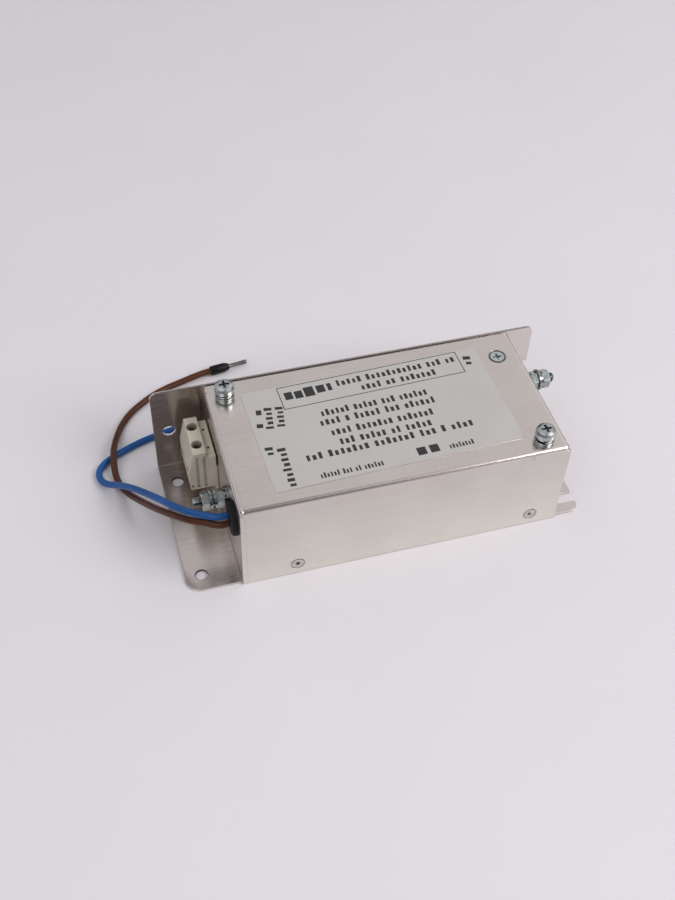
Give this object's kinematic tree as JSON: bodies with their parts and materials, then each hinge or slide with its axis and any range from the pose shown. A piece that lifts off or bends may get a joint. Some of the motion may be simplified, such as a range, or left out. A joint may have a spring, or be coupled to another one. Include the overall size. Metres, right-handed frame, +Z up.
{
  "type": "power line filter",
  "caption": "Single-phase mains interference filter in a folded sheet-metal footprint case, with a screw terminal block, earth studs and insulated output leads that end in ferrules.",
  "frame": {"origin": "on the table under the middle of the chassis", "axes": "+X along the case from the mains end to the load end, +Y from the near panel to the back wall, +Z up"},
  "size_m": [0.1954, 0.1246, 0.0509],
  "materials": {
    "sheet_metal": "satin mill finish",
    "zinc_plate": "bright zinc plating",
    "label_film": "silver-grey polyester film",
    "cream_moulding": "moulded polyamide",
    "brass_cage": "plain",
    "tinned_copper": "tin plating",
    "green_yellow_pvc": "smooth",
    "black_rubber": "matt",
    "blue_pvc": "smooth",
    "brown_pvc": "smooth",
    "black_plastic": "moulded",
    "board_laminate": "glass laminate",
    "fibre_sheet": "pressed fibre",
    "ferrite": "sintered",
    "enamelled_copper": "enamel",
    "yellow_box": "moulded",
    "blue_epoxy": "dipped",
    "resistor_body": "lacquer"
  },
  "bodies": {
    "root": {"chassis": "sheet_metal", "cover": "sheet_metal", "rating_label": "label_film", "cover_side_screws": "zinc_plate", "cover_side_nuts": "zinc_plate", "cover_top_screw": "zinc_plate", "cover_pillar": "zinc_plate", "mounting_screws": "zinc_plate", "mounting_spring_washers": "zinc_plate", "mounting_plain_washers": "zinc_plate", "mounting_press_nuts": "zinc_plate", "terminal_block": "cream_moulding", "terminal_clamps": "brass_cage", "terminal_contacts": "tinned_copper", "terminal_screws": "zinc_plate", "line_earth_stud": "zinc_plate", "load_earth_stud": "zinc_plate", "earth_nuts": "zinc_plate", "earth_plain_washers": "zinc_plate", "earth_spring_washers": "zinc_plate", "earth_lock_washers": "zinc_plate", "earth_lugs": "tinned_copper", "earth_leads": "green_yellow_pvc", "lead_grommet": "black_rubber", "blue_lead": "blue_pvc", "brown_lead": "brown_pvc", "blue_inner_lead": "blue_pvc", "brown_inner_lead": "brown_pvc", "blue_ferrule_collar": "black_plastic", "blue_ferrule_barrel": "tinned_copper", "brown_ferrule_collar": "black_plastic", "brown_ferrule_barrel": "tinned_copper", "circuit_board": "board_laminate", "board_standoffs": "zinc_plate", "board_screws": "zinc_plate", "insulating_sheet": "fibre_sheet", "choke_core": "ferrite", "choke_carrier": "black_plastic", "line_winding": "enamelled_copper", "neutral_winding": "enamelled_copper", "line_x_capacitor": "yellow_box", "load_x_capacitor": "yellow_box", "y_capacitors": "blue_epoxy", "bleed_resistor": "resistor_body"}
  },
  "joints": []
}
